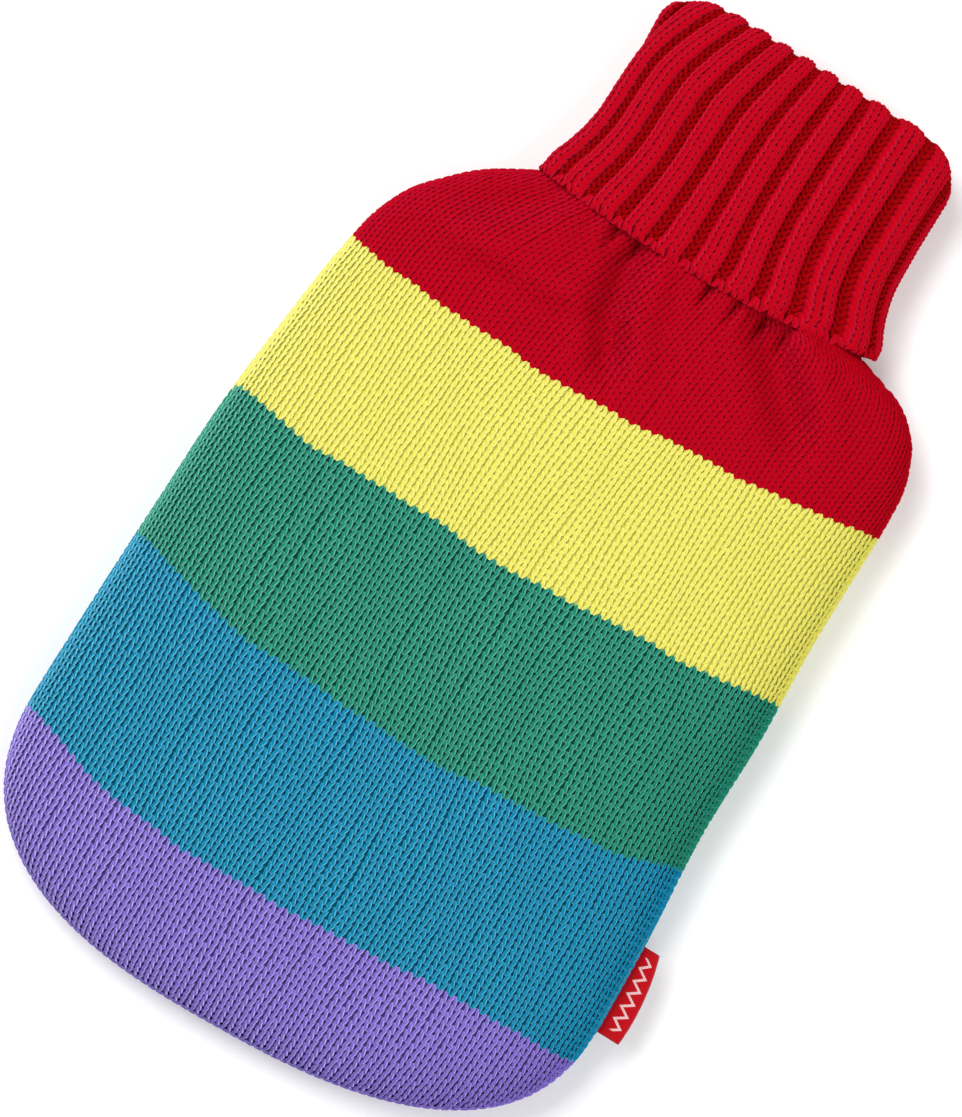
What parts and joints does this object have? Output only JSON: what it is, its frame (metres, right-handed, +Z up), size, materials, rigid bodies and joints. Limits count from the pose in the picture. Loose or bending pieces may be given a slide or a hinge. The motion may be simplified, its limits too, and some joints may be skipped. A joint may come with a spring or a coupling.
{
  "type": "knitted hot water bottle cover",
  "caption": "Soft knitted cover for a hot water bottle: a striped flat bag with rounded shoulders and a deep ribbed roll-neck collar turned down over them, open at the neck.",
  "frame": {"origin": "on the surface that the cover lies on, under the middle of its outline seen from above", "axes": "+Y along the cover from its rounded bottom to the mouth of the collar, +X to the side whose seam holds the label, +Z up out of the front panel"},
  "size_m": [0.2102, 0.3498, 0.036],
  "materials": {
    "striped_knit": "matte acrylic stockinette in broad red, yellow, green, teal blue and violet stripes",
    "red_rib_knit": "matte crimson acrylic yarn in 2 x 2 rib",
    "woven_red_tape": "close-woven satin-faced red tape, plain"
  },
  "bodies": {
    "root": {"front_panel": "striped_knit", "back_panel": "striped_knit", "collar": "red_rib_knit", "label": "woven_red_tape"}
  },
  "joints": []
}
